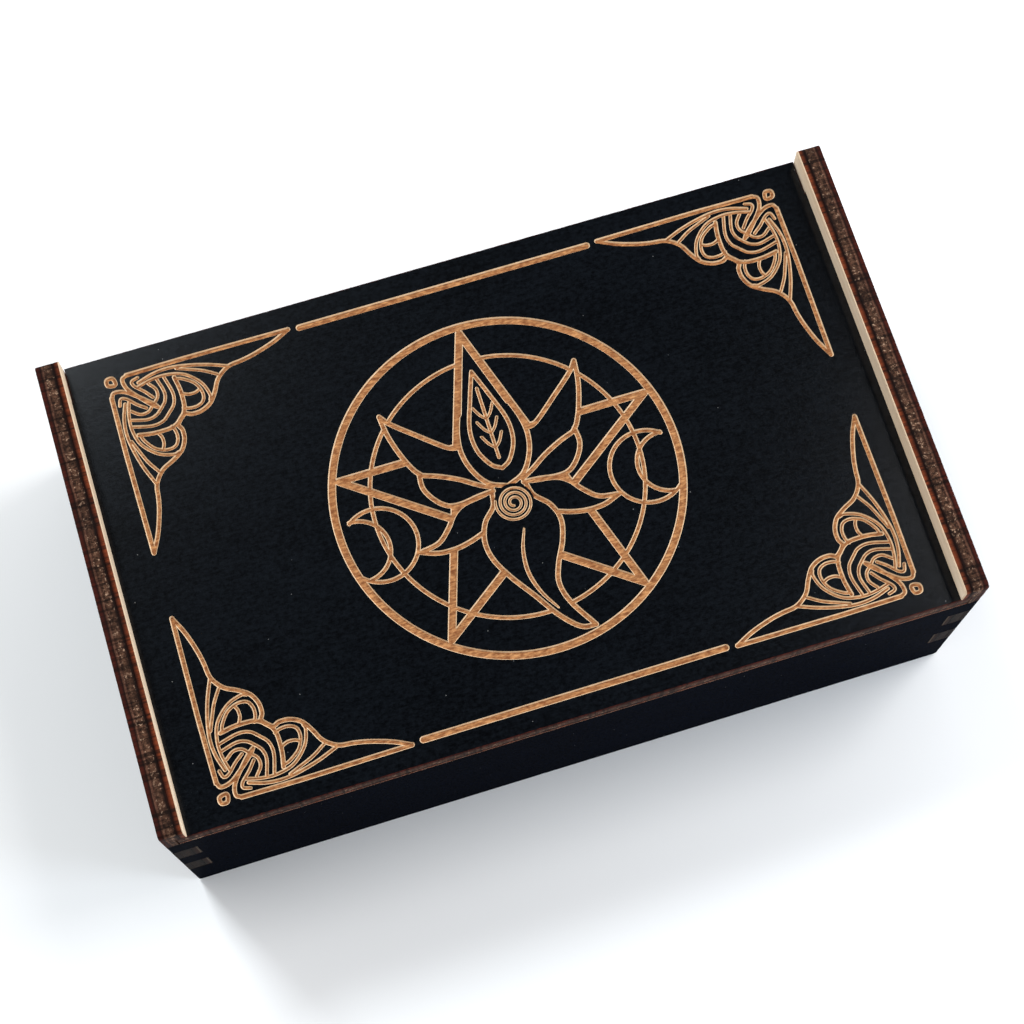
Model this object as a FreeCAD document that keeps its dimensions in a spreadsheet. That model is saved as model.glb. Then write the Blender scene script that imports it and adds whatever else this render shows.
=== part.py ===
"""Card deck box: five plywood panels joined by fingers, and a flat lid that slides in two grooves.

Millimetres. X runs along the box, Y from front to back, Z up. The origin is the centre of the
footprint, on the surface that the box stands on. Every panel is drawn flat from one of its own
corners and then placed.
"""
import FreeCAD, Part
import os
import re

import Sketcher

doc = FreeCAD.newDocument("card_deck_box")

# ---------------------------------------------------------------- driving dimensions
DIMENSIONS = [
    ("box_length", 136.0, "outside length, over both end panels"),
    ("box_depth", 81.0, "outside depth, front face to back face"),
    ("box_height", 46.0, "overall height, to the top of the rails"),
    ("wall_thickness", 4.0, "plywood of the front, back and end panels"),
    ("base_thickness", 4.0, "plywood of the bottom panel"),
    ("lid_thickness", 4.0, "plywood of the lid"),
    ("rail_height", 4.1, "strip of end panel above each groove"),
    ("groove_depth", 2.0, "how far each groove is cut into its end panel"),
    ("stop_length", 6.0, "uncut end panel behind each groove, which stops the lid"),
    ("lid_gap", 0.15, "running clearance under the lid, and again over it"),
    ("side_gap", 0.25, "running clearance between the lid's edge and the groove's floor"),
    ("stop_gap", 0.2, "clearance between the lid's shoulder and the stop's end"),
    ("neck_gap", 0.1, "running clearance between the lid's narrow back and each stop"),
    ("finger_count", 5, "fingers up each corner, an odd number, the lowest twice as high"),
]

sheet = doc.addObject("Spreadsheet::Sheet", "Sizes")
for row, (alias, value, meaning) in enumerate(DIMENSIONS, start=1):
    sheet.set(f"A{row}", meaning)
    sheet.set(f"B{row}", str(value))
    sheet.setAlias(f"B{row}", alias)
doc.recompute()

# ---------------------------------------------------------------- lengths worked out from them
GROOVE_HEIGHT = "(lid_thickness + 2 * lid_gap)"
WALL_HEIGHT = f"(box_height - rail_height - {GROOVE_HEIGHT})"
FINGER = f"({WALL_HEIGHT} / (finger_count + 1))"
LOW_FINGER = f"(2 * {FINGER})"
NOTCH_PAIRS = "((finger_count - 1) / 2)"
INSIDE_LENGTH = "(box_length - 2 * wall_thickness)"
INSIDE_DEPTH = "(box_depth - 2 * wall_thickness)"
TONGUE = "(groove_depth - side_gap)"
LID_LENGTH = f"({INSIDE_LENGTH} + 2 * {TONGUE})"
SHOULDER = f"({TONGUE} + neck_gap)"
SLOT_LENGTH = "(box_depth - stop_length)"


def from_sheet(text):
    """The same expression with every dimension's name pointing at its cell."""
    return re.sub(r"[a-z_]+", lambda word: "Sizes." + word.group(), text)


def value_of(text):
    """What an expression comes to with the sheet's present numbers."""
    return float(sheet.evalExpression(from_sheet(text)))


# ---------------------------------------------------------------- drawing helpers
def new_body(label):
    """An empty PartDesign body whose label names the piece."""
    body = doc.addObject("PartDesign::Body", label)
    body.Label = label
    return body


def new_sketch(body, name, plane, offset="0"):
    """A sketch on one of the body's own origin planes, lifted off it by an expression."""
    sketch = body.newObject("Sketcher::SketchObject", name)
    support = [f for f in body.Origin.OriginFeatures if f.Role == plane][0]
    sketch.AttachmentSupport = [(support, "")]
    sketch.MapMode = "FlatFace"
    if offset != "0":
        sketch.setExpression("AttachmentOffset.Base.z", from_sheet(offset))
    return sketch


def pin(sketch, line, direction, text):
    """Holds a line's start point at an expression's distance from the sketch's origin."""
    if text == "0":
        axis = -2 if direction == "DistanceX" else -1
        sketch.addConstraint(Sketcher.Constraint("PointOnObject", line, 1, axis))
        return
    number = sketch.addConstraint(
        Sketcher.Constraint(direction, -1, 1, line, 1, value_of(text))
    )
    sketch.setExpression(f"Constraints[{number}]", from_sheet(text))


def outline(sketch, corners):
    """A closed polygon whose corners are pairs of expressions, each bound to the sheet."""
    points = [FreeCAD.Vector(value_of(x), value_of(y), 0) for x, y in corners]
    lines = []
    for start, end in zip(points, points[1:] + points[:1]):
        lines.append(sketch.addGeometry(Part.LineSegment(start, end)))
    for line, following in zip(lines, lines[1:] + lines[:1]):
        sketch.addConstraint(Sketcher.Constraint("Coincident", line, 2, following, 1))
    for line, (x, y) in zip(lines, corners):
        pin(sketch, line, "DistanceX", x)
        pin(sketch, line, "DistanceY", y)


def rectangle(sketch, left, low, right, high):
    """An upright rectangle between two pairs of expressions."""
    outline(sketch, [(left, low), (right, low), (right, high), (left, high)])


def pad(body, sketch, name, length, reverse=False):
    """Thickens a sketch into a board."""
    feature = body.newObject("PartDesign::Pad", name)
    feature.Profile = sketch
    feature.Reversed = reverse
    feature.setExpression("Length", from_sheet(length))
    doc.recompute()
    return feature


def pocket(body, sketch, name, depth, reverse=False):
    """Cuts a sketch out of a board, and makes sure that wood was removed."""
    before = body.Shape.Volume
    feature = body.newObject("PartDesign::Pocket", name)
    feature.Profile = sketch
    feature.Reversed = reverse
    feature.setExpression("Length", from_sheet(depth))
    doc.recompute()
    if body.Shape.Volume >= before - 1e-6:
        raise RuntimeError(f"{name} of {body.Label} cuts nothing")
    return feature


def repeat_upwards(body, cut, sketch, name):
    """Repeats a pair of finger notches up the corner, one finger between each and the next."""
    pattern = body.newObject("PartDesign::LinearPattern", name)
    pattern.Originals = [cut]
    pattern.Direction = (sketch, ["V_Axis"])
    pattern.setExpression("Occurrences", from_sheet(NOTCH_PAIRS))
    pattern.setExpression("Length", from_sheet(f"2 * {FINGER} * ({NOTCH_PAIRS} - 1)"))
    body.Tip = pattern
    doc.recompute()
    return pattern


def place(body, x, y, z):
    """Moves a finished piece from its drawing corner to where it sits in the box."""
    for axis, text in (("x", x), ("y", y), ("z", z)):
        if text != "0":
            body.setExpression(f"Placement.Base.{axis}", from_sheet(text))


# ---------------------------------------------------------------- the panels
def make_long_panel(label, y):
    """Front or back panel: full length, as high as the lid's underside, notched at both ends.

    It keeps the lowest finger, which is twice as high as the rest, and every other one above it.
    """
    body = new_body(label)
    face = new_sketch(body, label + "_face", "XZ_Plane")
    rectangle(face, "0", "0", "box_length", WALL_HEIGHT)
    pad(body, face, label + "_board", "wall_thickness", reverse=True)

    notches = new_sketch(body, label + "_notch_outline", "XZ_Plane")
    far_side = "box_length - wall_thickness"
    notch_top = f"{LOW_FINGER} + {FINGER}"
    rectangle(notches, "0", LOW_FINGER, "wall_thickness", notch_top)
    rectangle(notches, far_side, LOW_FINGER, "box_length", notch_top)
    cut = pocket(body, notches, label + "_notch", "wall_thickness")
    repeat_upwards(body, cut, notches, label + "_notches")
    place(body, "-box_length / 2", y, "0")
    return body


def make_end_panel(label, x, groove_faces_right):
    """End panel: full height and depth, notched front and back, with the lid's groove inside.

    The groove is open at the front and stops short of the back. What stands above it is the rail.
    """
    body = new_body(label)
    face = new_sketch(body, label + "_face", "YZ_Plane")
    rectangle(face, "0", "0", "box_depth", "box_height")
    pad(body, face, label + "_board", "wall_thickness")

    far_side = "box_depth - wall_thickness"
    low_notches = new_sketch(body, label + "_low_notch_outline", "YZ_Plane")
    rectangle(low_notches, "0", "0", "wall_thickness", LOW_FINGER)
    rectangle(low_notches, far_side, "0", "box_depth", LOW_FINGER)
    pocket(body, low_notches, label + "_low_notch", "wall_thickness", reverse=True)

    notches = new_sketch(body, label + "_notch_outline", "YZ_Plane")
    notch_foot = f"{LOW_FINGER} + {FINGER}"
    notch_top = f"{LOW_FINGER} + 2 * {FINGER}"
    rectangle(notches, "0", notch_foot, "wall_thickness", notch_top)
    rectangle(notches, far_side, notch_foot, "box_depth", notch_top)
    cut = pocket(body, notches, label + "_notch", "wall_thickness", reverse=True)
    repeat_upwards(body, cut, notches, label + "_notches")

    inner_face = "wall_thickness" if groove_faces_right else "0"
    groove = new_sketch(body, label + "_groove_outline", "YZ_Plane", offset=inner_face)
    rectangle(groove, "0", WALL_HEIGHT, SLOT_LENGTH, f"{WALL_HEIGHT} + {GROOVE_HEIGHT}")
    towards_plus_x = not groove_faces_right
    pocket(body, groove, label + "_groove", "groove_depth", reverse=towards_plus_x)
    place(body, x, "-box_depth / 2", "0")
    return body


def make_bottom_panel(label):
    """Bottom panel: a plain board glued between the four walls."""
    body = new_body(label)
    face = new_sketch(body, label + "_face", "XY_Plane")
    rectangle(face, "0", "0", INSIDE_LENGTH, INSIDE_DEPTH)
    pad(body, face, label + "_board", "base_thickness")
    place(body, f"-{INSIDE_LENGTH} / 2", f"-{INSIDE_DEPTH} / 2", "0")
    return body


def make_lid(label):
    """Lid: as deep as the box, with a tongue along each side that runs in a groove.

    Each tongue stops at a shoulder near the back, where the end panel's stop stands.
    """
    body = new_body(label)
    face = new_sketch(body, label + "_face", "XY_Plane")
    shoulder_y = f"{SLOT_LENGTH} - stop_gap"
    right_neck = f"{LID_LENGTH} - {SHOULDER}"
    outline(face, [
        ("0", "0"),
        (LID_LENGTH, "0"),
        (LID_LENGTH, shoulder_y),
        (right_neck, shoulder_y),
        (right_neck, "box_depth"),
        (SHOULDER, "box_depth"),
        (SHOULDER, shoulder_y),
        ("0", shoulder_y),
    ])
    pad(body, face, label + "_board", "lid_thickness")
    place(body, f"-{LID_LENGTH} / 2", "-box_depth / 2", f"{WALL_HEIGHT} + lid_gap")
    return body


pieces = [
    make_long_panel("front_panel", "-box_depth / 2"),
    make_long_panel("back_panel", "box_depth / 2 - wall_thickness"),
    make_end_panel("left_end_panel", "-box_length / 2", groove_faces_right=True),
    make_end_panel("right_end_panel", "box_length / 2 - wall_thickness", groove_faces_right=False),
    make_bottom_panel("bottom_panel"),
    make_lid("lid"),
]
doc.recompute()

# ---------------------------------------------------------------- checks, then the files
for item in doc.Objects:
    if "Invalid" in item.State or "Error" in item.State:
        raise RuntimeError(f"{item.Label} did not compute: {item.State}")
for piece in pieces:
    if piece.Shape.isNull() or not piece.Shape.isValid() or len(piece.Shape.Solids) != 1:
        raise RuntimeError(f"{piece.Label} is not one valid solid")

os.makedirs("parts", exist_ok=True)
for piece in pieces:
    piece.Shape.exportStep(os.path.join("parts", piece.Label + ".step"))
    box = piece.Shape.BoundBox
    size = f"{box.XLength:.2f} x {box.YLength:.2f} x {box.ZLength:.2f}"
    print(f"{piece.Label}: {size} mm, {piece.Shape.Volume / 1000:.2f} cm3")
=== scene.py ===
# %% [markdown]
# # A plywood deck box with an engraved sliding lid
#
# The real box is six boards of three-ply plywood, cut by laser. The sheet was coated black on one side
# before it was cut, so the outside is satin black, the inside is bare wood, and every cut edge is charred
# brown. The lid slides out towards the front in two grooves, between two raised rails.
#
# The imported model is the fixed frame. It says where each board is, and this script only gives the boards
# their real edges, the lid its engraving, and everything its finish.

# %% Load the frame
import math

import bpy
import numpy as np
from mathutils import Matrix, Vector
from mathutils.geometry import delaunay_2d_cdt


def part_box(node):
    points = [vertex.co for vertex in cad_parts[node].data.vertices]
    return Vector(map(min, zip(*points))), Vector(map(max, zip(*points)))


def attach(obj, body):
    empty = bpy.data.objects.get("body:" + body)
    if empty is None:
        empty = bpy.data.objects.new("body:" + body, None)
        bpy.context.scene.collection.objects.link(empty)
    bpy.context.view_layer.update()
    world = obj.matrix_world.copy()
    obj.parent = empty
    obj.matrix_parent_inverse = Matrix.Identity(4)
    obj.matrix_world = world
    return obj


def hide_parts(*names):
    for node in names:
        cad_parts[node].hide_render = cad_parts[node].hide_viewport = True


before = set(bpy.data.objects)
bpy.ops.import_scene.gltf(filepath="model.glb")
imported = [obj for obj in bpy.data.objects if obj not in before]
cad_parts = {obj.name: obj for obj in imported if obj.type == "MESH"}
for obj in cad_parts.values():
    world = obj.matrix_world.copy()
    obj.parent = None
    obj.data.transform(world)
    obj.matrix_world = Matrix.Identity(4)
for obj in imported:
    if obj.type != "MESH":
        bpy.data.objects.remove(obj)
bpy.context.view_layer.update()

MM = 0.001

# %% [markdown]
# ## Reading the boards' outlines
#
# A board's outline, with its finger joints, could be typed in again, but then it could drift away from the
# frame. Each board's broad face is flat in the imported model, so its outline is read from there: the
# triangles that lie on the face's plane share their inner edges, and an edge that only one of them uses is
# on the rim. Walking those rim edges from end to end gives the corners in order.

# %% Outlines from the frame
SAME_PLACE = 0.01
NO_TURN = 1e-6


def box_mm(node):
    """Lowest and highest corner of a node, in millimetres."""
    low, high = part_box(node)
    return np.array(low) / MM, np.array(high) / MM


def signed_area(corners):
    """Half the sum of x1*y2 - x2*y1 round the polygon: positive when it runs anticlockwise."""
    x, y = corners.T
    return 0.5 * np.sum(x * np.roll(y, -1) - np.roll(x, -1) * y)


def flat_outline(node, axis, at):
    """Anticlockwise corners of the node's flat face at height `at` along `axis`, that axis left out."""
    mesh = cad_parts[node].data
    mesh.calc_loop_triangles()
    places = np.empty(len(mesh.vertices) * 3)
    mesh.vertices.foreach_get("co", places)
    triangles = np.empty(len(mesh.loop_triangles) * 3, int)
    mesh.loop_triangles.foreach_get("vertices", triangles)
    places, same = np.unique(np.round(places.reshape(-1, 3) / MM, 3), axis=0, return_inverse=True)
    triangles = same.ravel()[triangles].reshape(-1, 3)
    on_face = np.all(np.abs(places[triangles][:, :, axis] - at) < SAME_PLACE, axis=1)
    sides = triangles[on_face][:, [0, 1, 1, 2, 2, 0]].reshape(-1, 2)
    used = {tuple(side) for side in sides}
    following = {a: b for a, b in used if (b, a) not in used}
    walk = [next(iter(following))]
    while following[walk[-1]] != walk[0]:
        walk.append(following[walk[-1]])
    rim = np.delete(places[walk], axis, axis=1)
    before, after = rim - np.roll(rim, 1, 0), np.roll(rim, -1, 0) - rim
    turns = np.abs(before[:, 0] * after[:, 1] - before[:, 1] * after[:, 0]) > NO_TURN
    rim = rim[turns]
    return rim if signed_area(rim) > 0 else rim[::-1]


front_low = box_mm("front_panel")[0]
print("front panel corners:", len(flat_outline("front_panel", 1, front_low[1])))

# %% [markdown]
# ## A plywood board
#
# A board is a profile carried round its outline. The profile runs across the thickness: a slightly worn
# arris, a face veneer, a glue line burnt a little deeper than the wood, the core, and the same again. The
# beam leaves the cut a few hundredths of a millimetre uneven, so each point of each ring is drawn back by a
# small random amount, always inwards, which keeps the board inside its true size. The corners that stick
# out furthest are worn round: both ends of the rails, and the feet of the front and back boards.
#
# The alternative is a box with a Bevel modifier, but its edge would be one smooth strip with nothing for
# the light to catch.

# %% Boards
ARRIS = 0.14
CORNER_WEAR = 0.8
WEAR_POINTS = 6
GLUE_DEPTH = 0.07
GLUE_HALF = 0.07
VENEER_SHARE = 0.26
EDGE_STEP = 0.55
UNEVEN = 0.035
SHARPEST_MITRE = -0.4
SEED = 7
LOW_FACE, CUT_EDGE, HIGH_FACE, ENGRAVED = 0, 1, 2, 3
random = np.random.default_rng(SEED)


def divided(corners, step):
    """The outline with points added along every side, no further apart than step."""
    ends = np.roll(corners, -1, 0)
    counts = np.maximum(1, np.ceil(np.linalg.norm(ends - corners, axis=1) / step).astype(int))
    start = np.repeat(corners, counts, axis=0)
    end = np.repeat(ends, counts, axis=0)
    place = np.concatenate([np.arange(n) / n for n in counts])[:, None]
    return start + (end - start) * place


def left_normals(steps):
    """Unit vectors a quarter turn to the left of each step."""
    length = np.linalg.norm(steps, axis=1, keepdims=True)
    return np.stack([-steps[:, 1], steps[:, 0]], 1) / np.maximum(length, 1e-12)


def mitres(points, closed=True):
    """How a point moves when both its sides shift left by 1: (n1 + n2) / (1 + n1 . n2), less at spikes."""
    after = np.roll(points, -1, 0) - points
    before = points - np.roll(points, 1, 0)
    if not closed:
        after[-1], before[0] = before[-1], after[0]
    n1, n2 = left_normals(before), left_normals(after)
    return (n1 + n2) / (1 + np.maximum(np.sum(n1 * n2, axis=1, keepdims=True), SHARPEST_MITRE))


def ply_profile(thickness):
    """Rows of (height across the board, inset): arris, veneer, glue line, core, glue line, veneer, arris."""
    glue = VENEER_SHARE * thickness
    half = [(0, ARRIS), (0.3 * ARRIS, 0.3 * ARRIS), (ARRIS, 0), (glue - GLUE_HALF, 0), (glue, GLUE_DEPTH),
            (glue + GLUE_HALF, 0)]
    other = [(thickness - height, inset) for height, inset in reversed(half)]
    return np.array(half + other)


def rings_of(outline, thickness):
    """One ring of points per profile row, rows x points x 2: the outline plus its mitres times the inset."""
    profile = ply_profile(thickness)
    rough = random.normal(size=(len(profile), len(outline)))
    rough = np.abs(rough + np.roll(rough, 1, 1) + np.roll(rough, -1, 1)) / 3 * UNEVEN
    inset = profile[:, 1:] + rough
    return profile[:, 0], outline[None] + mitres(outline)[None] * inset[:, :, None]


def in_space(flat, across, axis):
    """Flat points and their height across the board, put together as x, y, z in metres."""
    return np.insert(flat, axis, across, axis=1) * MM


def strips(rows, columns):
    """Quads between each ring and the next, closed all the way round."""
    row, column = np.meshgrid(np.arange(rows - 1), np.arange(columns), indexing="ij")
    ahead = (column + 1) % columns
    quads = [row * columns + column, row * columns + ahead,
             (row + 1) * columns + ahead, (row + 1) * columns + column]
    return np.stack(quads, -1).reshape(-1, 4)


def closed_volume(points, faces):
    """Sum of a . (b x c) / 6 over a fan of triangles in every face: positive when faces point outwards."""
    total = 0.0
    for face in faces:
        corners = points[np.asarray(face)]
        total += np.sum(np.cross(corners[1:-1], corners[2:]) @ corners[0])
    return total / 6


def make_piece(name, points, faces, slots):
    """A mesh object at the origin with a finish number per face, its faces turned outwards."""
    if closed_volume(points, faces) < 0:
        faces = [list(face)[::-1] for face in faces]
    mesh = bpy.data.meshes.new(name)
    mesh.from_pydata(points.tolist(), [], [list(map(int, face)) for face in faces])
    for _ in (LOW_FACE, CUT_EDGE, HIGH_FACE, ENGRAVED):
        mesh.materials.append(None)
    mesh.polygons.foreach_set("material_index", np.asarray(slots, np.int32))
    mesh.validate()
    mesh.update()
    piece = bpy.data.objects.new(name, mesh)
    bpy.context.scene.collection.objects.link(piece)
    return piece


def worn_corners(outline, level):
    """The outline with its outermost corners at one height swapped for quarter circles."""
    ends = outline[:, 0]
    at_level = np.isclose(outline[:, 1], level, atol=SAME_PLACE)
    outermost = at_level & ((ends == ends.min()) | (ends == ends.max()))
    turn = np.radians(np.linspace(0, 90, WEAR_POINTS))[:, None]
    parts = []
    neighbours = zip(np.roll(outline, 1, 0), outline, np.roll(outline, -1, 0), outermost)
    for before, corner, after, worn in neighbours:
        back = (before - corner) / np.linalg.norm(before - corner)
        on = (after - corner) / np.linalg.norm(after - corner)
        centre = corner + CORNER_WEAR * (back + on)
        quarter = centre - CORNER_WEAR * (on * np.cos(turn) + back * np.sin(turn))
        parts.append(quarter if worn else corner[None])
    return np.vstack(parts)


def make_board(name, node, axis, outer, worn_level=None):
    """A whole plywood board that takes its thickness from a node, and its outline from the outer face."""
    low, high = box_mm(node)
    outline = flat_outline(node, axis, outer)
    if worn_level is not None:
        outline = worn_corners(outline, worn_level)
    outline = divided(outline, EDGE_STEP)
    heights, rings = rings_of(outline, high[axis] - low[axis])
    rows, columns = rings.shape[:2]
    across = np.repeat(low[axis] + heights, columns)
    points = in_space(rings.reshape(-1, 2), across, axis)
    sides = strips(rows, columns)
    low_face = np.arange(columns)[::-1]
    high_face = np.arange(columns) + (rows - 1) * columns
    faces = [*sides, low_face, high_face]
    slots = [CUT_EDGE] * len(sides) + [LOW_FACE, HIGH_FACE]
    piece = make_piece(name, points, faces, slots)
    print(f"{name}: {rows} rings of {columns} points")
    return piece


front = make_board("front_board", "front_panel", 1, front_low[1], worn_level=front_low[2])
back = make_board("back_board", "back_panel", 1, box_mm("back_panel")[1][1], worn_level=front_low[2])
bottom = make_board("bottom_board", "bottom_panel", 2, box_mm("bottom_panel")[0][2])

# %% [markdown]
# ## The two end boards and their grooves
#
# The lid runs in a groove half as deep as the board is thick. It is open at the front and stops short of
# the back. A groove changes the board's section only along part of its length, so it is easier to take a
# plain bar away from a whole board than to build the section both ways. The bar is the space the lid's
# edge slides in. Its height comes from the lid in the frame. The groove's depth, the gap over and under the
# lid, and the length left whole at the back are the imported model's own sizes, given here once more.

# %% End boards
STOP = 6.0
GROOVE_DEPTH = 2.0
LID_GAP = 0.15
OVERSHOOT = 1.0


def bar(low, high):
    """A closed box as 8 points and 6 outward faces."""
    corners = np.array([[x, y, z] for x in (low[0], high[0]) for y in (low[1], high[1])
                        for z in (low[2], high[2])])
    faces = [[0, 1, 3, 2], [4, 6, 7, 5], [0, 4, 5, 1], [2, 3, 7, 6], [0, 2, 6, 4], [1, 5, 7, 3]]
    return corners * MM, faces


def take_away(piece, points, faces):
    """The piece's mesh with a closed shape cut out of it, the new faces marked as cut edge."""
    tool = make_piece("cutting_bar", points, faces, [CUT_EDGE] * len(faces))
    cut = piece.modifiers.new("groove", "BOOLEAN")
    cut.operation = "DIFFERENCE"
    cut.solver = "EXACT"
    cut.object = tool
    bpy.context.view_layer.update()
    ready = piece.evaluated_get(bpy.context.evaluated_depsgraph_get())
    mesh = bpy.data.meshes.new_from_object(ready)
    piece.modifiers.clear()
    old, piece.data = piece.data, mesh
    bpy.data.meshes.remove(old)
    bpy.data.objects.remove(tool)
    return mesh


def make_end(name, node, inner_is_high):
    """An end board with its groove on the inner face."""
    low, high = box_mm(node)
    piece = make_board(name, node, 0, low[0] if inner_is_high else high[0], worn_level=high[2])
    lid_low, lid_high = box_mm("lid")
    inner = high[0] if inner_is_high else low[0]
    floor_of_groove = inner - GROOVE_DEPTH if inner_is_high else inner + GROOVE_DEPTH
    past = inner + OVERSHOOT if inner_is_high else inner - OVERSHOOT
    xs = sorted((floor_of_groove, past))
    points, faces = bar((xs[0], low[1] - OVERSHOOT, lid_low[2] - LID_GAP),
                        (xs[1], high[1] - STOP, lid_high[2] + LID_GAP))
    mesh = take_away(piece, points, faces)
    print(f"{name}: groove taken away, {len(mesh.polygons)} faces left")
    return piece


left_end = make_end("left_end_board", "left_end_panel", True)
right_end = make_end("right_end_board", "right_end_panel", False)

# %% [markdown]
# ## Drawing the engraving
#
# The laser follows strokes: a path with a width. Paths are drawn through a few given points as smooth
# curves, or as arcs and straight lines. The drawing is a list of steps in painting order. A "cut" burns a
# stroke. A "keep" wipes an area clean before the next strokes, so a leaf hides what runs behind it.
#
# All of it is in millimetres from the middle of the drawing.

# %% Paths
DEPTH = 0.38
WALL = 0.17
BROAD, MIDDLE, THIN, HAIR = 1.36, 0.86, 0.74, 0.56


def smooth(*points, closed=False, steps=7):
    """A Catmull-Rom curve: each span is a cubic that leaves its ends along the line between neighbours."""
    p = np.array(points, float)
    p = np.vstack([p[-1:], p, p[:2]]) if closed else np.vstack([2 * p[0] - p[1], p, 2 * p[-1] - p[-2]])
    a, b, c, d = p[:-3, None], p[1:-2, None], p[2:-1, None], p[3:, None]
    t = (np.arange(steps) / steps)[None, :, None]
    spans = b + 0.5 * ((c - a) * t + (2 * a - 5 * b + 4 * c - d) * t**2 + (3 * (b - c) + d - a) * t**3)
    spans = spans.reshape(-1, 2)
    return spans if closed else np.vstack([spans, p[-2:-1]])


def arc(centre, radius, start, end, step=0.6):
    """Points on a circle: centre + radius * (cos, sin), from one angle to another in degrees."""
    count = 2 + int(abs(math.radians(end - start)) * radius / step)
    turn = np.radians(np.linspace(start, end, count))
    return np.array(centre) + radius * np.stack([np.cos(turn), np.sin(turn)], 1)


def line(*points):
    """Straight runs between the points."""
    return np.array(points, float)


def flipped(path, x=-1, y=1):
    """The path's mirror image."""
    return path * np.array([x, y])


drawing = []


def cut(path, width, closed=False):
    """Adds a burnt stroke to the drawing. Its width is one number, or one for each point."""
    drawing.append(("cut", path, np.broadcast_to(width, len(path)), closed))


def keep(path):
    """Adds an area to the drawing that stays as it was before any stroke."""
    drawing.append(("keep", path, None, True))


print("stroke widths in mm:", BROAD, MIDDLE, THIN, HAIR)

# %% [markdown]
# ## The middle of the lid
#
# A ring holds a five-pointed star of straight lines. A flower lies over it: a tall pointed petal with a
# veined bud inside, three leaves on each side, a twisted root, and a spiral where they meet. Two crescents
# sit at the sides. The leaves are drawn once, and mirrored for the other side. A ring's arc stops just
# short of a full turn, because closing it draws the last bit.

# %% Ring, star and flower
RING_RADIUS = 28.6
INNER_RING_RADIUS = 22.4
STAR_RADIUS = 27.5
STAR_TIPS = 5
RING_END, INNER_RING_END = 358.8, 358.5
CREASE, CREASE_SWELL = 0.34, 0.36
BUD, STALK, VEIN = 0.72, 0.6, 0.5
SPIRAL_MIDDLE = (0.1, -3.3)
SPIRAL_START, SPIRAL_GROWTH, SPIRAL_CLEAR = 0.55, 2.55, 3.3
SPIRAL_TURNS, SPIRAL_FACING, SPIRAL_POINTS, SPIRAL_WIDTH = 3.25, 250, 110, 0.46


def draw_star():
    """Five straight lines, each from one tip to the tip two further round, over a thin ring."""
    cut(arc((0, 0), INNER_RING_RADIUS, 0, INNER_RING_END), THIN, closed=True)
    turn = np.radians(90 + 360 / STAR_TIPS * np.arange(STAR_TIPS))
    tips = STAR_RADIUS * np.stack([np.cos(turn), np.sin(turn)], 1)
    for k in range(STAR_TIPS):
        cut(tips[[k, (k + 2) % STAR_TIPS]], BROAD)


def draw_leaves():
    """Three leaves on each side: all areas are wiped first, then their outlines are burnt."""
    upper = smooth((-5.6, 8.3), (-7.6, 8.9), (-11.6, 12.2), (-15.4, 15.5), (-16.8, 17.3))
    upper_side = smooth((-16.8, 17.3), (-16.4, 13.8), (-15.3, 9.9), (-14.0, 6.9), (-12.9, 5.5))
    upper_base = smooth((-12.9, 5.5), (-10.2, 4.5), (-7.2, 3.0), (-4.8, 1.4), (-2.6, 0.2))
    middle = smooth((-13.3, 6.0), (-13.4, 3.4), (-12.2, 1.0), (-10.3, -0.7), (-8.0, -1.0), (-5.2, -0.6),
                    (-2.6, -0.4))
    lower = smooth((-4.0, -0.6), (-7.8, -1.2), (-9.8, -2.4), (-11.4, -4.4), (-13.6, -6.3), (-16.8, -6.9))
    lower_base = smooth((-16.8, -6.9), (-14.0, -7.9), (-11.0, -8.0), (-8.4, -7.5), (-6.1, -6.7))
    for side in (1, -1):
        keep(flipped(np.vstack([upper, upper_side, upper_base, [(-4, 4)]]), side))
        keep(flipped(np.vstack([middle, upper_base[::-1]]), side))
        keep(flipped(np.vstack([lower, lower_base, [(-3, -3)]]), side))
    for side in (1, -1):
        for stroke in (upper, upper_side, upper_base, middle, lower, lower_base):
            cut(flipped(stroke, side), MIDDLE)


def draw_root():
    """A root that swells, then twists to a point, with one crease along it."""
    right = smooth((2.9, -0.9), (3.5, -3.0), (5.6, -5.3), (6.5, -8.2), (5.7, -11.6), (3.9, -15.2),
                   (3.0, -18.4), (3.9, -22.0), (6.6, -26.6))
    left = smooth((6.6, -26.6), (4.2, -26.2), (1.4, -23.4), (-1.2, -19.4), (-4.2, -15.0), (-6.0, -11.4),
                  (-6.4, -8.2), (-5.4, -5.2), (-3.4, -3.0), (-2.9, -0.9))
    keep(np.vstack([right, left]))
    cut(right, MIDDLE)
    cut(left, MIDDLE)
    crease = smooth((0.3, -8.0), (-0.9, -11.4), (-1.2, -15.2), (-0.2, -18.9), (1.7, -22.2))
    along = np.linspace(0, 1, len(crease))
    cut(crease, CREASE + CREASE_SWELL * np.sin(np.pi * along))


def draw_petal():
    """A tall petal whose straight top edges meet at the ring, with a leaf and its veins inside."""
    side = smooth((-4.2, 14.2), (-5.3, 10.8), (-5.7, 7.4), (-4.9, 4.0), (-3.0, 1.1), (0.0, -0.3))
    half = np.vstack([[(0, STAR_RADIUS)], side])
    keep(np.vstack([half, flipped(half)[::-1]]))
    bud = smooth((0, 20.4), (-1.7, 15.6), (-3.2, 10.8), (-3.1, 7.0), (-1.6, 4.0), (0, 2.9))
    for mirror in (1, -1):
        cut(flipped(line((0, STAR_RADIUS), (-4.35, 13.9)), mirror), BROAD)
        cut(flipped(side, mirror), MIDDLE)
        cut(flipped(bud, mirror), BUD)
        for height in (6.6, 9.2, 11.8):
            vein = smooth((0, height), (0.9, height + 0.9), (1.7, height + 2.4), steps=4)
            cut(flipped(vein, mirror), VEIN)
    cut(line((0, 17.3), (0, 4.8)), STALK)


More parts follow.
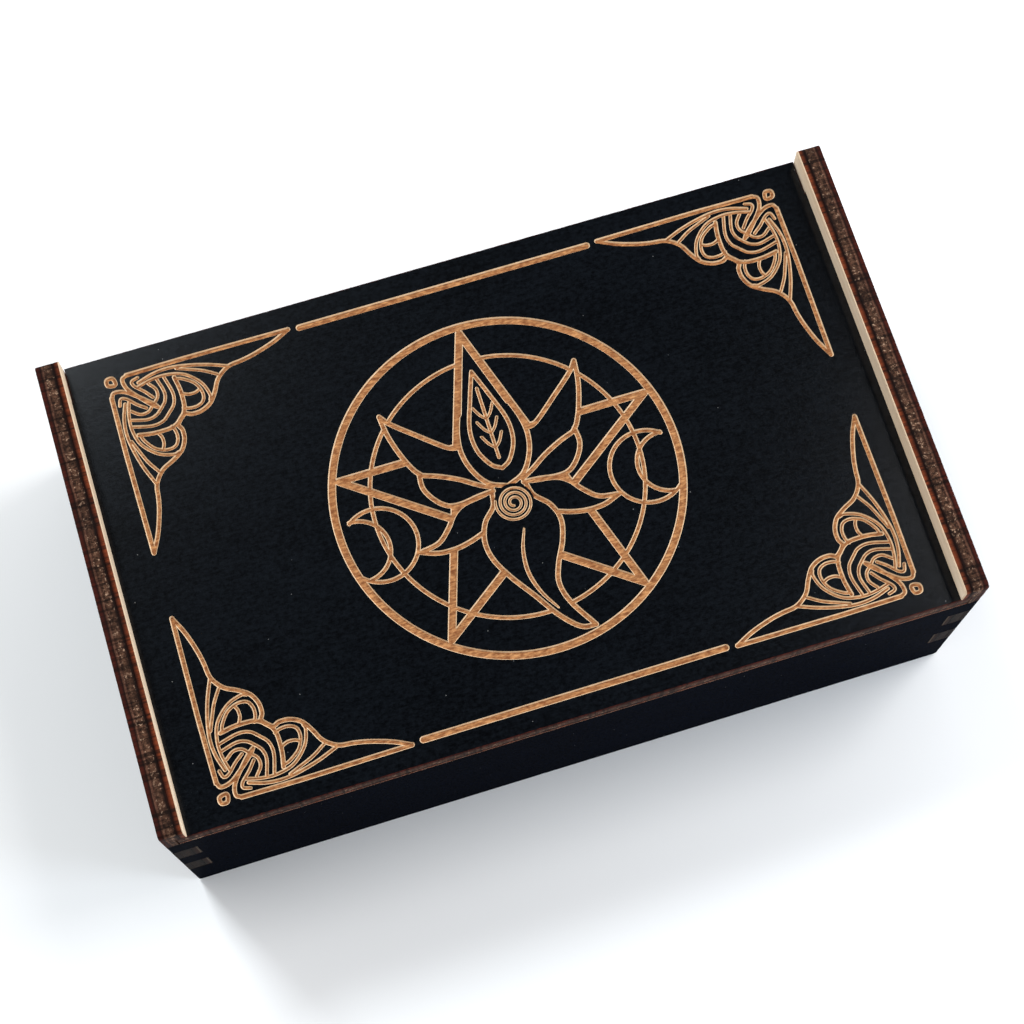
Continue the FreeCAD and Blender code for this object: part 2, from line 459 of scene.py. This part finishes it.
def draw_spiral():
    """A spiral whose radius grows evenly with its turn."""
    middle = np.array(SPIRAL_MIDDLE)
    share = np.linspace(0, 1, SPIRAL_POINTS)
    radius = SPIRAL_START + SPIRAL_GROWTH * share
    turn = math.radians(SPIRAL_FACING) - 2 * np.pi * SPIRAL_TURNS * share
    keep(arc(middle, SPIRAL_CLEAR, 0, 350))
    cut(middle + radius[:, None] * np.stack([np.cos(turn), np.sin(turn)], 1), SPIRAL_WIDTH)


def draw_middle():
    """The whole medallion, from the back layer to the front one."""
    draw_star()
    draw_leaves()
    draw_root()
    draw_petal()
    draw_spiral()
    for side in (1, -1):
        cut(flipped(arc((-22.7, -3.8), 6.2, 128, -133), side), THIN)
        cut(flipped(arc((-26.3, -3.9), 5.15, 92, -84), side), THIN)
    cut(arc((0, 0), RING_RADIUS, 0, RING_END), BROAD, closed=True)


draw_middle()
print("steps in the middle:", len(drawing))

# %% [markdown]
# ## The corners and the two border lines
#
# Each corner is a scroll of thin lines: a long spike along each edge, two rounded eyes with a bar
# across them, bands that sweep round the corner, and two straps that cross. It is the same on both sides
# of the corner's diagonal, so it is drawn once in lengths from the corner point, (along one edge, along
# the other), and every stroke is repeated with the two lengths swapped.

# %% Corner scrolls
CORNER = np.array((58.9, 37.6))
BORDER_AT, BORDER_HALF, BORDER_WIDTH = 36.35, 25.1, 1.15

EYE = [
    (smooth((3.6, 11.7), (6.0, 12.1), (8.6, 12.1), (10.0, 11.7), (10.9, 10.9)), 0.75),
    (smooth((3.5, 5.6), (2.9, 8.0), (2.8, 10.6), (3.6, 13.4), (5.8, 15.7), (8.2, 16.6), (9.2, 16.4)), HAIR),
    (smooth((3.9, 11.9), (4.3, 13.0), (5.6, 14.7), (7.4, 15.5), (8.9, 15.3), (9.6, 14.2), (9.6, 12.8),
            (9.2, 11.8)), HAIR),
    (smooth((6.6, 12.0), (7.2, 13.2), (7.2, 14.4), (6.8, 15.3)), HAIR),
]
BANDS = [
    (smooth((2.9, 8.8), (5.6, 9.5), (7.2, 9.2), (8.3, 8.3)), HAIR),
    (smooth((2.8, 10.0), (6.1, 10.8), (8.1, 10.5), (9.4, 9.4)), HAIR),
]
SWEEPS = [
    (smooth((4.3, 20.7), (3.0, 17.3), (2.1, 13.8), (1.75, 11.0), (2.0, 8.4), (2.8, 5.8)), 0.6),
    (smooth((5.2, 18.7), (3.9, 16.6), (2.9, 14.2), (2.2, 12.4)), HAIR),
]
SPIKE = [
    (line((0.95, 4.2), (0.85, 14.0), (1.0, 31.9)), 0.84),
    (smooth((1.05, 31.8), (2.4, 29.0), (3.5, 25.6), (4.0, 23.2), (4.25, 21.2), (4.9, 19.8), (6.1, 18.5),
            (8.0, 17.5), (9.7, 16.3), (10.6, 14.6), (10.7, 12.9), (10.3, 11.9), (10.95, 10.95)), 0.76),
]
STRAPS = [
    (smooth((0.95, 4.3), (1.5, 3.4), (3.2, 3.7), (5.2, 5.2), (7.2, 7.0), (7.9, 7.9)), 0.72),
    (smooth((1.9, 5.9), (2.3, 4.8), (3.2, 5.0), (4.6, 6.4), (6.0, 7.5)), HAIR),
    (smooth((3.4, 7.3), (4.8, 8.3), (6.2, 8.2), (7.2, 7.2)), HAIR),
]
BEAD = smooth((1.85, 0.85), (2.15, 1.8), (1.8, 2.15), (0.85, 1.85), (0.9, 0.9), closed=True)


def draw_corner(x, y):
    """One corner: CORNER minus the drawn lengths, with the signs of the quarter it lies in."""
    for path, width in EYE + BANDS + SWEEPS + SPIKE + STRAPS:
        cut((CORNER - path) * (x, y), width)
        cut((CORNER - path[:, ::-1]) * (x, y), width)
    cut((CORNER - BEAD) * (x, y), THIN, closed=True)


for x, y in ((1, 1), (-1, 1), (-1, -1), (1, -1)):
    draw_corner(x, y)
for y in (BORDER_AT, -BORDER_AT):
    cut(line((-BORDER_HALF, y), (BORDER_HALF, y)), BORDER_WIDTH)
print("steps in the whole drawing:", len(drawing))

# %% [markdown]
# ## From strokes to a surface
#
# The groove a laser burns has a flat floor and steep walls. Seen from above, every stroke is a ribbon: an
# outer line where the wall starts and an inner line where the floor starts. All these lines go into one
# constrained triangulation of the lid's top, which puts an edge along every one of them and a corner
# wherever two cross. Then one rule gives each corner its height, whatever strokes it lies on: the height
# falls from 0 at the stroke's edge to the full depth one wall further in.
#
# Cutting the strokes out with booleans would also work, but hundreds of crossing ribbons are slow and
# often fail. The price here is a few very thin triangles where two lines nearly meet. Two things keep most
# of them from showing: a spot that would be cut only a little is left flat, and a narrow pair of lines
# follows the rim of every wiped area, so that a stroke ends there at once.


# %% The ribbon round a stroke
NARROWEST = 0.05
SHALLOWEST = 0.12
WIPED_MARGIN = 0.1


def ribbon(path, widths, closed):
    """Closed loops at half a width from the path: its two sides, joined by round ends if it is open."""
    reach = widths[:, None] / 2
    shift = mitres(path, closed) * reach
    left, right = path + shift, path - shift
    if closed:
        return [left, right]
    loops = []
    for tip, inner, r in ((path[-1], path[-2], reach[-1]), (path[0], path[1], reach[0])):
        facing = math.degrees(math.atan2(*(tip - inner)[::-1]))
        loops.append(arc(tip, float(r[0]), facing + 90, facing - 90, step=0.16)[1:-1])
    return [np.vstack([left, loops[0], right[::-1], loops[1]])]


def depth_under(points, path, widths, closed):
    """Depth of one stroke at each point: (half width - distance to the path) / wall, kept within 0 and 1."""
    start = path if closed else path[:-1]
    end = np.roll(path, -1, 0) if closed else path[1:]
    half = widths / 2
    half_start = half[:len(start)]
    half_end = np.roll(half, -1)[:len(start)]
    step = end - start
    length = np.maximum(np.sum(step**2, axis=1), 1e-12)
    share = np.clip(np.sum((points[:, None] - start) * step, axis=2) / length, 0, 1)
    away = np.linalg.norm(points[:, None] - start - share[:, :, None] * step, axis=2)
    inside = half_start + share * (half_end - half_start) - away
    return np.clip(np.max(inside, axis=1) / WALL, 0, 1)


def within(points, loop):
    """True where a ray from the point to the right crosses the loop an odd number of times."""
    x, y = points[:, 0, None], points[:, 1, None]
    x1, y1 = loop.T
    x2, y2 = np.roll(loop, -1, 0).T
    crosses = (y1 > y) != (y2 > y)
    rise = np.where(y2 == y1, 1.0, y2 - y1)
    return np.sum(crosses & (x < x1 + (y - y1) / rise * (x2 - x1)), axis=1) % 2 == 1


def drawn_depth(points):
    """Depth of the whole drawing at each point: 0, or SHALLOWEST to 1, with the steps in painting order."""
    depth = np.zeros(len(points))
    for what, path, widths, closed in drawing:
        margin = WIPED_MARGIN if what == "keep" else widths.max()
        near = np.all((points > path.min(0) - margin) & (points < path.max(0) + margin), axis=1)
        if what == "keep":
            depth[near] *= ~within(points[near], path)
        else:
            depth[near] = np.maximum(depth[near], depth_under(points[near], path, widths, closed))
    return np.where(depth < SHALLOWEST, 0, depth)


def drawn_lines():
    """The outer and inner lines of every stroke, and a narrow pair along the rim of every wiped area."""
    lines = []
    for what, path, widths, closed in drawing:
        if what == "cut":
            lines += ribbon(path, widths, closed)
            lines += ribbon(path, np.maximum(widths - 2 * WALL, NARROWEST), closed)
        else:
            lines += ribbon(path, np.full(len(path), NARROWEST), closed)
    return lines


outlines = drawn_lines()
print("lines:", len(outlines), "points on them:", sum(map(len, outlines)))

# %% [markdown]
# ## The lid
#
# The lid is the same ply board as the others, except that its upper face is the triangulated drawing. The
# triangulation is given the board's own top rim as its outer line, so both halves of the surface use the
# same points there and the seam is closed.

# %% The lid board
DRAWING_MIDDLE = np.array((0.4, -0.3))
INSIDE_ONLY = 1
SAME_POINT = 1e-5


def loop_edges(loops):
    """Index pairs that join each loop's points in a ring, the loops numbered one after another."""
    starts = np.cumsum([0] + [len(loop) for loop in loops])
    pairs = []
    for first, loop in zip(starts, loops):
        here = first + np.arange(len(loop))
        pairs.append(np.stack([here, np.roll(here, -1)], 1))
    return np.vstack(pairs)


def make_lid(name, node):
    """A ply board whose upper face carries the drawing."""
    low, high = box_mm(node)
    outline = divided(flat_outline(node, 2, high[2]), EDGE_STEP)
    heights, rings = rings_of(outline, high[2] - low[2])
    rows, columns = rings.shape[:2]
    middle = (low[:2] + high[:2]) / 2 + DRAWING_MIDDLE
    loops = [rings[-1]] + [loop + middle for loop in outlines]
    flat = np.vstack(loops)
    pairs = loop_edges(loops)
    found = delaunay_2d_cdt([Vector(p) for p in flat.tolist()], pairs.tolist(), [], INSIDE_ONLY, SAME_POINT)
    top = np.array([tuple(p) for p in found[0]])
    triangles = np.array(found[2])
    seat = {first: place for place, group in enumerate(found[3]) for first in group}
    rim = np.array([seat[k] for k in range(columns)])
    top[rim] = rings[-1]
    a, b, c = top[triangles[:, 0]], top[triangles[:, 1]], top[triangles[:, 2]]
    doubled = (b - a)[:, 0] * (c - a)[:, 1] - (b - a)[:, 1] * (c - a)[:, 0]
    triangles[doubled < 0] = triangles[doubled < 0][:, ::-1]
    depth = drawn_depth(top - middle)
    depth[rim] = 0
    sides = in_space(rings[:-1].reshape(-1, 2), np.repeat(low[2] + heights[:-1], columns), 2)
    upper = in_space(top, high[2] - DEPTH * depth, 2)
    points = np.vstack([sides, upper])
    below = len(sides)
    last = (rows - 2) * columns + np.arange(columns)
    up = below + rim
    joint = np.stack([last, np.roll(last, -1), np.roll(up, -1), up], 1)
    quads = [*strips(rows - 1, columns), *joint]
    faces = [*quads, np.arange(columns)[::-1], *(below + triangles)]
    burnt = np.any(depth[triangles] > 0, axis=1)
    slots = [CUT_EDGE] * len(quads) + [LOW_FACE] + np.where(burnt, ENGRAVED, HIGH_FACE).tolist()
    piece = make_piece(name, points, faces, slots)
    mark = piece.data.attributes.new("cut_depth", "FLOAT", "POINT")
    mark.data.foreach_set("value", np.concatenate([np.zeros(below), depth]).astype(np.float32))
    print(f"{name}: {len(triangles)} triangles on top, {np.mean(depth > 0.5):.0%} of the points in a stroke")
    return piece


lid = make_lid("lid_board", "lid")

# %% [markdown]
# ## Where a point of a board lies
#
# The finish of a cut edge depends on where a point lies across the board: the coated veneer, the core or
# the bare veneer. Each board gets that as an attribute, 0 at the coated face and 1 at the bare one. A
# second one keeps the point's place with that direction left out, so that the fine scratches of the cut
# can run straight across the edge whichever way the edge turns.

# %% Marks on the boards
BOARDS = {
    "front_board": (front, "front_panel", "box", "coated_ply", 1, True),
    "back_board": (back, "back_panel", "box", "coated_ply", 1, False),
    "left_end_board": (left_end, "left_end_panel", "box", "coated_ply", 0, True),
    "right_end_board": (right_end, "right_end_panel", "box", "coated_ply", 0, False),
    "bottom_board": (bottom, "bottom_panel", "box", "base_ply", 2, True),
    "lid_board": (lid, "lid", "lid", "engraved_ply", 2, False),
}


def mark_places(piece, node, axis, coated_is_low):
    """across = (place - coated face) / thickness, and edge_place = the place in mm with that axis at 0."""
    low, high = box_mm(node)
    mesh = piece.data
    places = np.empty(len(mesh.vertices) * 3, np.float32)
    mesh.vertices.foreach_get("co", places)
    places = places.reshape(-1, 3) / MM
    across = (places[:, axis] - low[axis]) / (high[axis] - low[axis])
    if not coated_is_low:
        across = 1 - across
    places[:, axis] = 0
    mesh.attributes.new("across", "FLOAT", "POINT").data.foreach_set("value", across.astype(np.float32))
    mesh.attributes.new("edge_place", "FLOAT_VECTOR", "POINT").data.foreach_set("vector", places.ravel())


for piece, node, body, finish, axis, coated_is_low in BOARDS.values():
    mark_places(piece, node, axis, coated_is_low)
print("boards marked:", len(BOARDS))

# %% [markdown]
# ## Shader maths as plain Python
#
# A pattern in a material is arithmetic on outputs of nodes. This class wraps one output, so an expression
# such as `1 - mask * 0.5` adds the Math nodes that work it out. Every other node comes from `node`.


# %% One output in a material
class Shade:
    """One output of one node. Arithmetic with numbers or other outputs gives a new output."""

    def __init__(self, tree, socket=None):
        self.tree = tree
        self.socket = socket

    def node(self, kind, settings=None, values=None, output=0):
        """Adds a node, sets it up, then gives its inputs numbers or links."""
        made = self.tree.nodes.new(kind)
        for name, value in (settings or {}).items():
            if name == "stops":
                ramp = made.color_ramp.elements
                for place, stop in enumerate(value):
                    element = ramp[place] if place < 2 else ramp.new(stop[0])
                    element.position = stop[0]
                    element.color = (*stop[1], 1)
            else:
                setattr(made, name, value)
        for name, value in (values or {}).items():
            if isinstance(value, Shade):
                self.tree.links.new(value.socket, made.inputs[name])
            else:
                made.inputs[name].default_value = value
        return Shade(self.tree, made.outputs[output] if len(made.outputs) else None)

    def maths(self, operation, *values, clamp=False):
        """A Math node on this output and the values."""
        settings = {"operation": operation, "use_clamp": clamp}
        return self.node("ShaderNodeMath", settings, dict(enumerate((self, *values))))

    def __add__(self, other):
        return self.maths("ADD", other)

    __radd__ = __add__

    def __mul__(self, other):
        return self.maths("MULTIPLY", other)

    __rmul__ = __mul__

    def __sub__(self, other):
        return self.maths("SUBTRACT", other)

    def __rsub__(self, other):
        return self * -1 + other

    def clear(self):
        """The value kept within 0 and 1."""
        return self.maths("ADD", 0.0, clamp=True)

    def between(self, start, end):
        """0 up to start, 1 from end on, and an even rise in between, or a fall when end is the lower one."""
        return ((self - start) * (1 / (end - start))).clear()


print("a Shade takes +, - and *, with a number on either side")

# %% [markdown]
# ## Words that every finish uses
#
# Every finish mixes colours, stretches a noise along the wood's grain, and ends in one shader. Those steps
# get short names here. A grain is given in millimetres along and across, so that it can be read off a
# real board.


# %% Words that every finish uses
def colour(red, green, blue):
    """A screen colour of 0 to 255 as the light it stands for: the sRGB curve, ((c + 0.055) / 1.055)^2.4."""
    parts = np.array([red, green, blue]) / 255
    return tuple(np.where(parts < 0.04, parts / 12.92, ((parts + 0.055) / 1.055) ** 2.4).tolist())


def as_input(value):
    """Colours get their fourth number; outputs pass as they are."""
    return value if isinstance(value, Shade) else (*value, 1)


def blend(mask, first, second):
    """The first colour where the mask is 0 and the second where it is 1."""
    values = {0: mask, 6: as_input(first), 7: as_input(second)}
    return mask.node("ShaderNodeMix", {"data_type": "RGBA"}, values, output=2)


def stretched(place, along, across_grain, grain_axis):
    """The place in grains: divided by `along` mm on the grain axis and by `across_grain` mm on the rest."""
    sizes = np.full(3, 1 / across_grain)
    sizes[grain_axis] = 1 / along
    return place.node("ShaderNodeVectorMath", {"operation": "MULTIPLY"}, {0: place, 1: tuple(sizes / MM)})


def noise(place, detail=3.0, rough=0.55, size=1.0):
    """Cloudy noise of 0 to 1 whose lumps are `size` wide in the units of the place."""
    values = {"Vector": place, "Scale": 1 / size, "Detail": detail, "Roughness": rough}
    return place.node("ShaderNodeTexNoise", {}, values)


def start_finish(name):
    """A new material, and the first output to build on: Object coordinates."""
    made = bpy.data.materials.new(name)
    made.use_nodes = True
    made.node_tree.nodes.clear()
    return made, Shade(made.node_tree).node("ShaderNodeTexCoord", output="Object")


def end_finish(place, base, rough, height, bump, values=None):
    """The shader that ends a finish: base colour, roughness, and a height whose full step is `bump` mm."""
    bumped = place.node("ShaderNodeBump", {}, {"Height": height, "Distance": bump * MM, "Strength": 1.0})
    sockets = {"Base Color": base, "Roughness": rough, "Normal": bumped, **(values or {})}
    shader = place.node("ShaderNodeBsdfPrincipled", {}, sockets)
    place.node("ShaderNodeOutputMaterial", {}, {"Surface": shader})


print("a middle grey as light:", [round(part, 3) for part in colour(128, 128, 128)])

# %% [markdown]
# ## Black coat
#
# The coat is a thin satin paint on the sheet, black with a little blue in it. Its skin is finely pebbled,
# the veneer's grain shows through it as faint lines, and it has a few specks of dust. The pebbles come
# from noise of one size, and the lines from noise stretched along the grain, which runs lengthwise on
# each board. Only the lid's copy has the full gloss. The copies for the other boards have about a tenth
# of it and a bluer tone, which is painted shade and a painted bluish cast on sides that face away from
# the key lamp.


# %% Black coat
def make_coat(name, grain_axis, gloss, light, dark):
    """Two near-black tones mixed by pebbles, lines and clouds, cells for dust, and an uneven gloss."""
    made, place = start_finish(name)
    pebbles = noise(stretched(place, 0.7, 0.5, grain_axis), detail=4.0, rough=0.7)
    lines = noise(stretched(place, 7.0, 0.3, grain_axis), detail=3.0, rough=0.6)
    clouds = noise(stretched(place, 26.0, 14.0, grain_axis), detail=2.0)
    cells = {"Vector": stretched(place, 1.0, 1.0, 0), "Scale": 0.42}
    dust = place.node("ShaderNodeTexVoronoi", {}, cells)
    chosen = place.node("ShaderNodeTexVoronoi", {}, cells, output=1)
    picked = place.node("ShaderNodeSeparateColor", {}, {0: chosen})
    speck = dust.between(0.045, 0.02) * picked.between(0.62, 0.64)
    tone = (pebbles * 0.7 + lines * 0.15 + clouds * 0.15).between(0.4, 0.6)
    base = blend(tone, dark, light)
    base = blend(speck * 0.5, base, colour(150, 150, 148))
    sheen = {"Specular IOR Level": 0.0, "Coat Weight": (0.03 + pebbles * 0.12 + lines * 0.05) * gloss,
             "Coat Roughness": 0.17, "Coat IOR": 1.8}
    end_finish(place, base, 0.7, pebbles * 0.8 + lines * 0.2, 0.05, sheen)
    return made


# Painted shade: the lengthwise and endwise copies have little gloss and a bluer tone than the lid's copy.
lid_coat = make_coat("black_coat_lid", 0, 1.8, colour(9, 13, 18), colour(1, 2, 4))
shaded_coat_lengthwise = make_coat("black_coat_shaded_lengthwise", 0, 0.15, colour(6, 10, 20), colour(2, 3, 7))
shaded_coat_endwise = make_coat("black_coat_shaded_endwise", 1, 0.2, colour(6, 9, 17), colour(2, 3, 6))
print("made", lid_coat.name, shaded_coat_lengthwise.name, "and", shaded_coat_endwise.name)

# %% [markdown]
# ## Laser-cut edge
#
# The beam leaves the edge brown and black. The two veneers are cut along their grain and are a red brown,
# the core is cut across its grain and is a duller brown with dark and pale flecks, and the glue line
# between is nearly black. Streaks of soot run straight across the board, and a pale line of clean wood is
# left next to the bare face. The ends of the fingers, all below the lid, are painted nearly black: painted
# shade for the sides of the box that face away from the light. The `across` attribute says which layer a
# point is in.


# %% Laser-cut edge
JOINTS_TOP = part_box("front_panel")[1][2]
JOINT_SHADE_FADE = 0.1 * MM


def make_edge(name):
    """Bands by the depth in the board, streaks straight across it, and flecks in the core."""
    made, place = start_finish(name)
    across = place.node("ShaderNodeAttribute", {"attribute_name": "across"}, output=2)
    flat = place.node("ShaderNodeAttribute", {"attribute_name": "edge_place"}, output=1)
    wander = noise(flat, detail=3.0, size=4.0)
    layer = across + (wander - 0.5) * 0.1
    streaks = noise(flat, detail=4.0, rough=0.75, size=0.7)
    patches = noise(flat, detail=3.0, size=9.0)
    flecks = noise(stretched(place, 0.55, 0.55, 0), detail=3.0, rough=0.75)
    stops = [(0.0, colour(68, 26, 17)), (0.12, colour(60, 20, 12)), (0.21, colour(24, 9, 6)),
             (0.27, colour(112, 76, 60)), (0.34, colour(62, 38, 28)), (0.48, colour(92, 64, 48)),
             (0.6, colour(72, 46, 34)), (0.68, colour(14, 6, 4)), (0.76, colour(34, 9, 3)),
             (0.88, colour(108, 48, 24)), (1.0, colour(124, 66, 38))]
    bands = place.node("ShaderNodeValToRGB", {"stops": stops}, {0: layer})
    core = layer.between(0.27, 0.34) * layer.between(0.7, 0.62)
    charred = blend(streaks.between(0.44, 0.62) * 0.85, bands, colour(12, 5, 3))
    charred = blend(flecks.between(0.5, 0.62) * core * 0.85, charred, colour(16, 9, 6))
    charred = blend(flecks.between(0.42, 0.34) * core * 0.7, charred, colour(184, 150, 124))
    charred = blend(patches.between(0.45, 0.7) * 0.55, charred, colour(20, 11, 9))
    charred = blend(across.between(0.945, 0.965), charred, colour(206, 182, 154))
    height = place.node("ShaderNodeSeparateXYZ", {}, {0: place}, output=2)
    # Painted shade: cut edges below the top of the front board, the finger ends, fade to near black.
    joints = height.between(JOINTS_TOP + JOINT_SHADE_FADE, JOINTS_TOP)
    charred = blend(joints * 0.88, charred, colour(13, 8, 7))
    rough = 0.7 + streaks * 0.2
    relief = streaks * 0.5 + flecks * 0.5 * core
    end_finish(place, charred, rough, relief, 0.12, {"Specular IOR Level": 0.08})
    return made


edge = make_edge("charred_edge")
print("made", edge.name)

# %% [markdown]
# ## Bare veneer
#
# The inside of the box is the uncoated face of the sheet, a pale even wood with soft bands of growth, fine
# lines and fine pores.


# %% Bare veneer
def make_bare(name, grain_axis):
    """Stretched noise in three sizes: broad growth bands, fine lines, and short dark pores."""
    made, place = start_finish(name)
    growth = noise(stretched(place, 70.0, 3.2, grain_axis), detail=3.0, rough=0.5)
    lines = noise(stretched(place, 9.0, 0.35, grain_axis), detail=4.0, rough=0.6)
    pores = noise(stretched(place, 1.6, 0.16, grain_axis), detail=1.0)
    base = blend(growth.between(0.3, 0.7), colour(232, 214, 190), colour(212, 186, 156))
    base = blend(lines.between(0.35, 0.75) * 0.3, base, colour(184, 152, 118))
    base = blend(pores.between(0.66, 0.74) * 0.4, base, colour(140, 106, 76))
    rough = 0.62 + lines * 0.2
    end_finish(place, base, rough, lines * 0.6 + (1 - pores) * 0.4, 0.05, {"Specular IOR Level": 0.3})
    return made


bare_lengthwise = make_bare("bare_veneer_lengthwise", 0)
bare_endwise = make_bare("bare_veneer_endwise", 1)
print("made", bare_lengthwise.name, "and", bare_endwise.name)

# %% [markdown]
# ## Burnt drawing
#
# The laser goes through the coat into the wood. The walls show clean pale wood and the floor is toasted,
# with fine lines where the beam scanned back and forth.


# %% Burnt drawing
def make_burnt(name):
    """Pale down to 0.8 of the depth, toasted where it is 1, with scan lines on the floor."""
    made, place = start_finish(name)
    depth = place.node("ShaderNodeAttribute", {"attribute_name": "cut_depth"}, output=2)
    scan = noise(stretched(place, 1.6, 0.26, 0), detail=2.0, rough=0.6)
    toast = noise(stretched(place, 1.1, 0.6, 0), detail=3.0, rough=0.6)
    floor = blend(toast.between(0.34, 0.66), colour(196, 142, 92), colour(128, 76, 40))
    floor = blend(scan.between(0.42, 0.62) * 0.55, floor, colour(98, 54, 28))
    wall = blend(toast.between(0.35, 0.8), colour(230, 204, 170), colour(206, 170, 128))
    base = blend(depth.between(0.8, 1.0), wall, floor)
    rough = 0.7 + scan * 0.2
    end_finish(place, base, rough, scan, 0.04, {"Specular IOR Level": 0.2})
    return made


burnt = make_burnt("burnt_drawing")
print("made", burnt.name)

# %% [markdown]
# ## Finishes on the boards
#
# Each board gets its coat on the outer face and bare veneer on the inner one, with the grain along its
# length. Then it is put under the body it moves with, and the imported node it stands for is hidden.


# %% Finishes on the boards
def finish_board(piece, low_face, high_face):
    """Puts the finishes in the order of the numbers: low face, cut edge, high face, drawing."""
    for number, made in enumerate((low_face, edge, high_face, burnt)):
        piece.data.materials[number] = made


finish_board(front, shaded_coat_lengthwise, bare_lengthwise)
finish_board(back, bare_lengthwise, shaded_coat_lengthwise)
finish_board(left_end, shaded_coat_endwise, bare_endwise)
finish_board(right_end, bare_endwise, shaded_coat_endwise)
finish_board(bottom, shaded_coat_lengthwise, bare_lengthwise)
finish_board(lid, bare_lengthwise, lid_coat)

for piece, node, body, finish, axis, coated_is_low in BOARDS.values():
    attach(piece, body)
    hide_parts(node)
    print(piece.name, "rides on", body)

# %% [markdown]
# ## Floor
#
# The box stands on a pale, even floor that is far larger than the box.


# %% Floor
def make_floor():
    """A flat pale square, with a very faint unevenness in its tone."""
    reach = 4.0
    corners = np.array([(-reach, -reach, 0), (reach, -reach, 0), (reach, reach, 0), (-reach, reach, 0)])
    mesh = bpy.data.meshes.new("floor")
    mesh.from_pydata(corners.tolist(), [], [[0, 1, 2, 3]])
    floor = bpy.data.objects.new("floor", mesh)
    bpy.context.scene.collection.objects.link(floor)
    made, place = start_finish("floor_paper")
    tone = noise(place, detail=2.0, size=0.2)
    base = blend(tone, (0.88, 0.88, 0.88), (0.92, 0.92, 0.92))
    end_finish(place, base, 0.9 + tone * 0.1, tone, 0.0, {"Specular IOR Level": 0.0})
    mesh.materials.append(made)
    return floor


floor = make_floor()
print("made", floor.name)

# %% [markdown]
# ## Light
#
# Three square lamps give the light. The key lamp stands high behind the box on the left, so the front is in
# shade. The side lamp hangs high on the right. A small bluish fill lamp stands low in front on the right.
# The sky is bright all round and brighter behind the box than in front, but nearly dark overhead, so that
# the satin lid mirrors little of it to the camera and stays near black.


# %% Light
BOX_MIDDLE = (0, 0, 0.03)


def soft_light(name, place, aim, size, power, tint=(1, 1, 1)):
    """A square lamp turned towards its aim."""
    lamp = bpy.data.lights.new(name, "AREA")
    lamp.shape = "SQUARE"
    lamp.size = size
    lamp.energy = power
    lamp.color = tint
    holder = bpy.data.objects.new(name, lamp)
    holder.location = place
    holder.rotation_euler = (Vector(aim) - Vector(place)).to_track_quat("-Z", "Y").to_euler()
    bpy.context.scene.collection.objects.link(holder)
    return holder


key = soft_light("key_light", (-0.25, 0.56, 0.84), BOX_MIDDLE, 0.26, 6.2, (0.90, 0.96, 1.0))
side = soft_light("side_light", (0.47, 0.08, 0.74), BOX_MIDDLE, 0.3, 3.2)
fill = soft_light("fill_light", (0.34, -0.20, 0.16), (0.05, -0.03, 0.02), 0.12, 0.9, (0.78, 0.88, 1.0))
world = bpy.data.worlds.new("studio")
world.use_nodes = True
world.node_tree.nodes["Background"].inputs["Color"].default_value = (1, 1, 1, 1)
around = Shade(world.node_tree)
facing = around.node("ShaderNodeTexCoord", output="Generated")
backwards = facing.node("ShaderNodeSeparateXYZ", {}, {0: facing}, output=1)
up = facing.node("ShaderNodeSeparateXYZ", {}, {0: facing}, output=2)
sky = (up.between(0.55, 0.85) * -0.93 + 1.0) * (backwards.between(-0.7, 0.5) * 0.6 + 0.75)
around.tree.links.new(sky.socket, world.node_tree.nodes["Background"].inputs["Strength"])
bpy.context.scene.world = world
bpy.context.scene.view_settings.view_transform = "Standard"
print("lamps:", key.name, side.name, fill.name)

# %% [markdown]
# ## Camera
#
# The camera looks down at the box steeply, from in front and a little to the left. It is placed by a turn,
# a height and a distance from a point on the lid's top.

# %% Camera
TURN = math.radians(-17.19)
HEIGHT = math.radians(73.08)
AWAY = 0.351
AIM_X, AIM_Y = -0.00034, -0.00506
FOCAL_LENGTH = 76.12
lid_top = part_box("lid")[1][2]
aim = Vector((AIM_X, AIM_Y, lid_top))
outwards = Vector((math.sin(TURN) * math.cos(HEIGHT), -math.cos(TURN) * math.cos(HEIGHT), math.sin(HEIGHT)))
lens = bpy.data.cameras.new("camera")
lens.sensor_width = 36.0
lens.lens = FOCAL_LENGTH
camera = bpy.data.objects.new("camera", lens)
camera.location = aim + outwards * AWAY
camera.rotation_euler = (-outwards).to_track_quat("-Z", "Y").to_euler()
bpy.context.scene.collection.objects.link(camera)
bpy.context.scene.camera = camera
print("camera at", [round(c, 4) for c in camera.location])

# %% [markdown]
# ## Bringing the scene up to date
#
# The scene is brought up to date. The looks do not change the object's size.

# %% Bring the scene up to date
bpy.context.view_layer.update()
